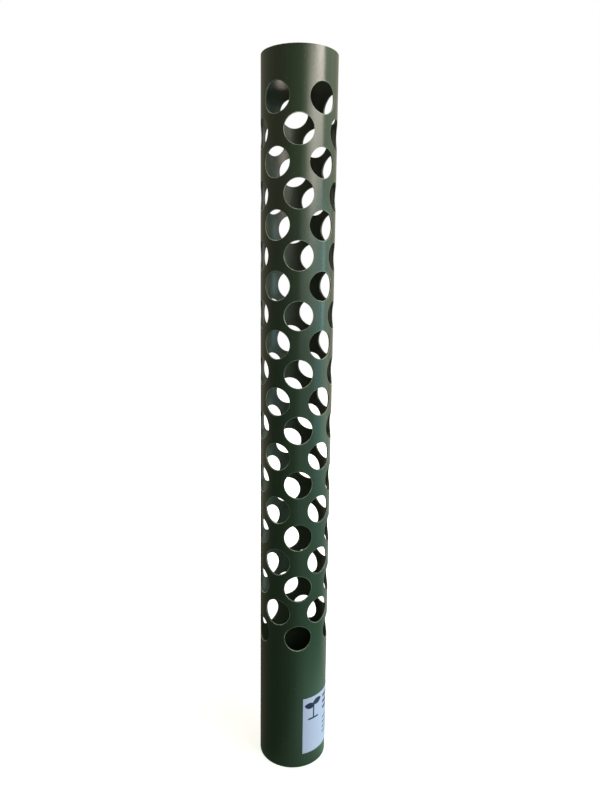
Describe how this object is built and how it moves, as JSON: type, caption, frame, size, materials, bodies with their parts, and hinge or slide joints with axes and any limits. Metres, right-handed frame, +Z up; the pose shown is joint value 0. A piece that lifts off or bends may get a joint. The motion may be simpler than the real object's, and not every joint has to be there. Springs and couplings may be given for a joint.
{
  "type": "tree protection tube",
  "caption": "Perforated dark green plastic tube that stands round the foot of a young tree, with an adhesive label on its plain lower band.",
  "frame": {"origin": "centre of the tube's foot, on the surface that it stands on", "axes": "+Z up along the tube's axis; -Y towards the viewer of the picture, with the label's left edge just right of it"},
  "size_m": [0.1103, 0.11, 1.1],
  "materials": {
    "green_pvc": "satin",
    "label_film": "matt"
  },
  "bodies": {
    "root": {"perforated_tube": "green_pvc", "label": "label_film"}
  },
  "joints": []
}
